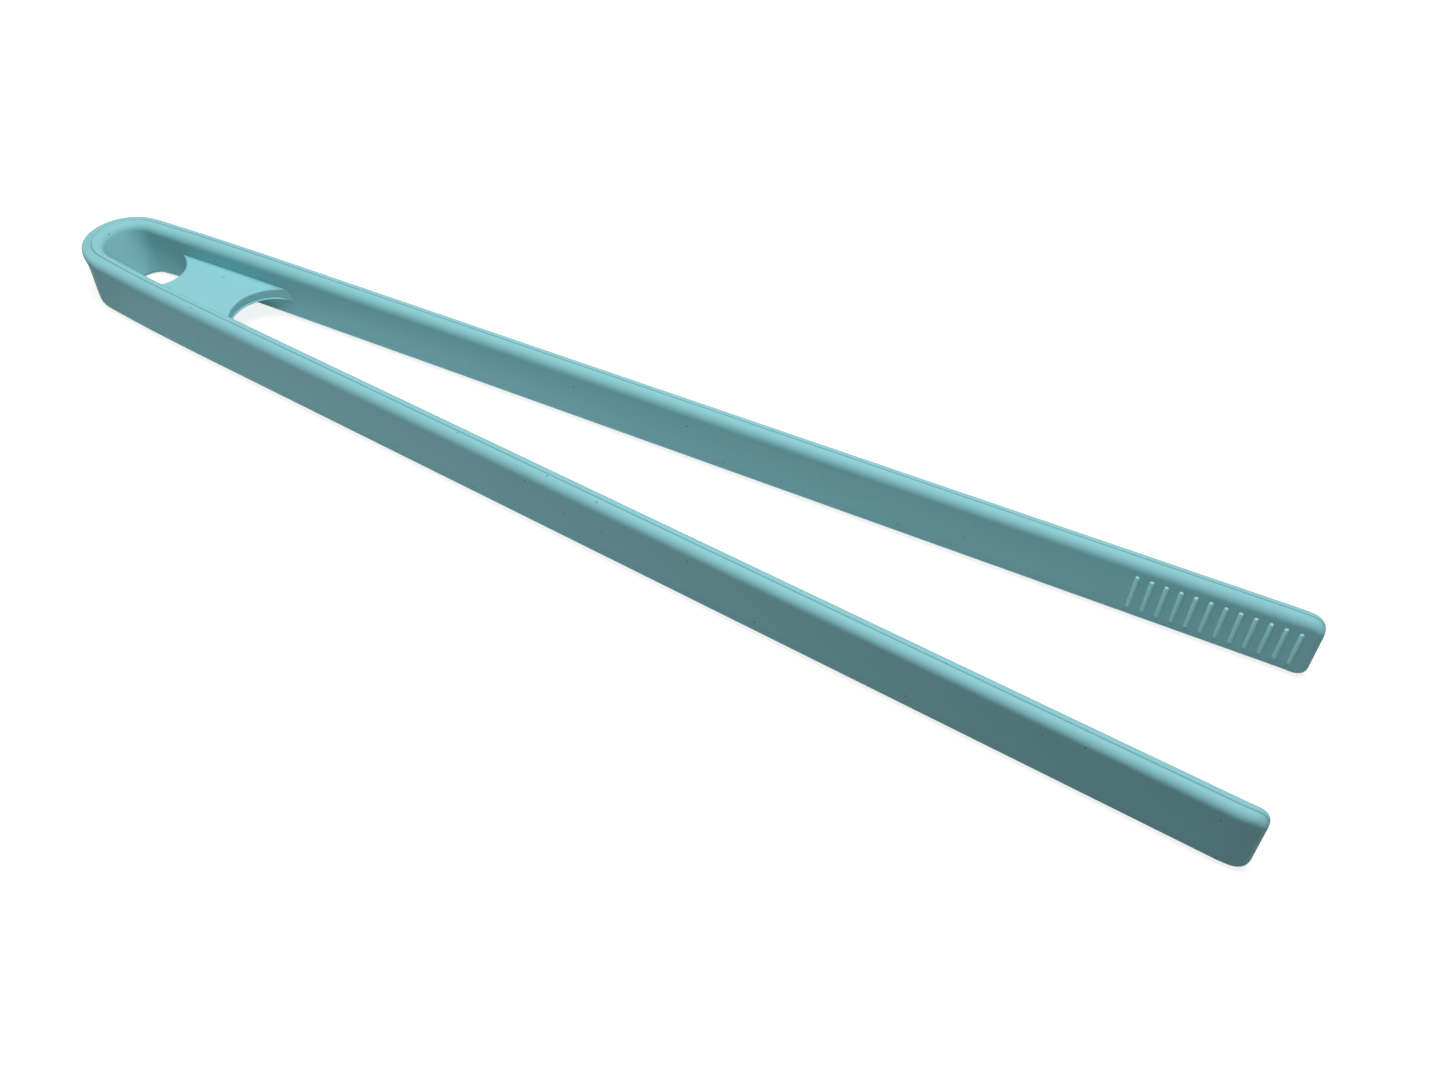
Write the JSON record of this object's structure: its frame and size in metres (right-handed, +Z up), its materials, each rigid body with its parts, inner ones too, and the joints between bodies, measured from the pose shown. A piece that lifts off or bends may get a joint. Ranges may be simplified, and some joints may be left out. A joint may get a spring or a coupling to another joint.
{
  "type": "spring kitchen tongs",
  "caption": "One-piece silicone covered spring tongs: narrow U bow with a hanging hole and a tie web, long straight arms, and raised grip ribs at the tips.",
  "frame": {"origin": "centre of the base, on the surface that the tongs lie on", "axes": "+X from the bow to the tips, +Y across the tongs towards the left arm, +Z up, along the height of the arms"},
  "size_m": [0.2889, 0.0566, 0.0158],
  "materials": {
    "cover": "satin moulded silicone",
    "core": "glass-filled nylon as moulded"
  },
  "bodies": {
    "bow": {"bow_core": "core", "bow_cover": "cover"},
    "left_arm": {"left_arm_core": "core", "left_arm_cover": "cover"},
    "right_arm": {"right_arm_core": "core", "right_arm_cover": "cover"}
  },
  "joints": [
    {"name": "left_arm_flexure", "type": "hinge", "parent": "bow", "child": "left_arm", "pos_m": [-0.06338, 0.01368, 0.007], "axis": [0, 0, -1], "range_deg": [0, 6.5], "stiffness_Nm_per_rad": 1.4},
    {"name": "right_arm_flexure", "type": "hinge", "parent": "bow", "child": "right_arm", "pos_m": [-0.06338, -0.01368, 0.007], "axis": [0, 0, 1], "range_deg": [0, 6.5], "stiffness_Nm_per_rad": 1.4}
  ]
}
